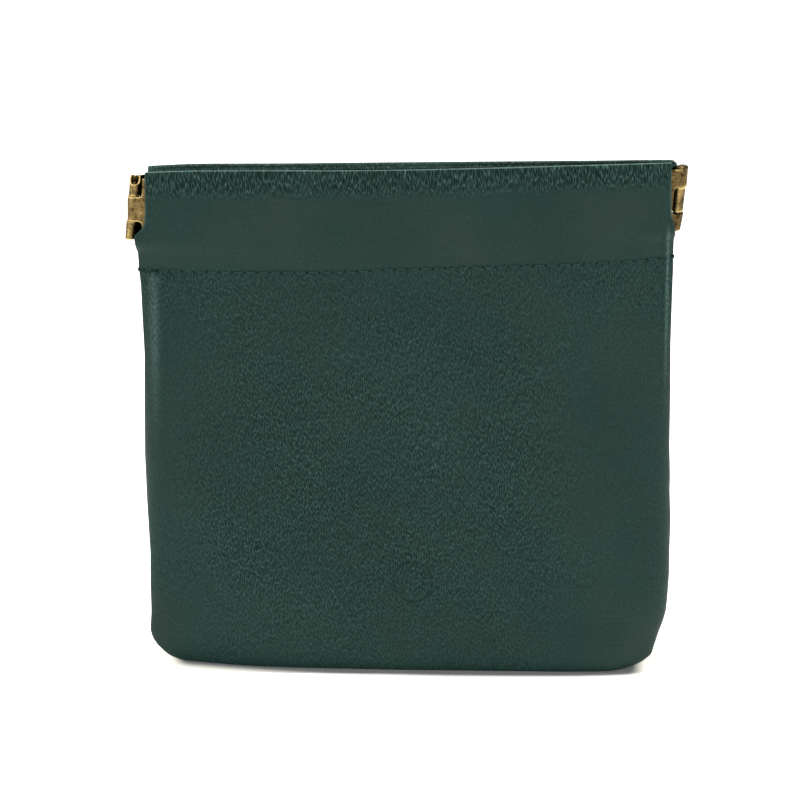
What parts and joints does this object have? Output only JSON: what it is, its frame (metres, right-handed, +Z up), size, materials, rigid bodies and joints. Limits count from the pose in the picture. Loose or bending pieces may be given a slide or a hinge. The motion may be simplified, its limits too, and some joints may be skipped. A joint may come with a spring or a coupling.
{
  "type": "squeeze frame pouch",
  "caption": "Upright leather pouch whose hemmed mouth hides a hinged spring frame; squeezing the ends bows the mouth open and it snaps shut when released.",
  "frame": {"origin": "centre of the pouch's footprint, on the surface that it stands on", "axes": "+X to the right seen from the front, along the mouth; +Y to the back; +Z up"},
  "size_m": [0.1298, 0.0168, 0.127],
  "materials": {
    "green_leather": "fine pebbled grain, satin",
    "aged_brass": "aged, mottled, satin",
    "spring_strip": "plain rolled"
  },
  "bodies": {
    "pouch": {"front_panel": "green_leather", "back_panel": "green_leather"},
    "front_middle": {"front_strip_middle": "spring_strip", "front_casing": "green_leather"},
    "front_left": {"front_strip_left": "aged_brass", "left_hinge_pin": "aged_brass"},
    "front_right": {"front_strip_right": "aged_brass", "right_hinge_pin": "aged_brass"},
    "back_middle": {"back_strip_middle": "spring_strip", "back_casing": "green_leather"},
    "back_left": {"back_strip_left": "aged_brass"},
    "back_right": {"back_strip_right": "aged_brass"}
  },
  "joints": [
    {"name": "mouth_opening", "type": "slide", "parent": "pouch", "child": "front_middle", "axis": [0, -1, 0], "range_m": [0, 0.0155], "stiffness_N_per_m": 200, "deforming": ["front_casing", "back_casing"]},
    {"name": "back_opening", "type": "slide", "parent": "pouch", "child": "back_middle", "axis": [0, 1, 0], "range_m": [0, 0.0155]},
    {"name": "front_left_bend", "type": "hinge", "parent": "front_middle", "child": "front_left", "pos_m": [-0.02095, -0.00158, 0.11545], "axis": [0.0262, 0, -0.9997], "range_deg": [0, 21.4]},
    {"name": "front_right_bend", "type": "hinge", "parent": "front_middle", "child": "front_right", "pos_m": [0.02095, -0.00158, 0.11655], "axis": [-0.0262, 0, 0.9997], "range_deg": [0, 21.4]},
    {"name": "back_left_bend", "type": "hinge", "parent": "back_middle", "child": "back_left", "pos_m": [-0.02095, 0.00158, 0.11545], "axis": [-0.0262, 0, 0.9997], "range_deg": [0, 21.4]},
    {"name": "back_right_bend", "type": "hinge", "parent": "back_middle", "child": "back_right", "pos_m": [0.02095, 0.00158, 0.11655], "axis": [0.0262, 0, -0.9997], "range_deg": [0, 21.4]}
  ],
  "couplings": [
    {"joint": "back_opening", "follows": "mouth_opening", "ratio": 1},
    {"joint": "front_left_bend", "follows": "mouth_opening", "rad_per_m": 24.059},
    {"joint": "front_right_bend", "follows": "mouth_opening", "rad_per_m": 24.059},
    {"joint": "back_left_bend", "follows": "mouth_opening", "rad_per_m": 24.059},
    {"joint": "back_right_bend", "follows": "mouth_opening", "rad_per_m": 24.059}
  ]
}
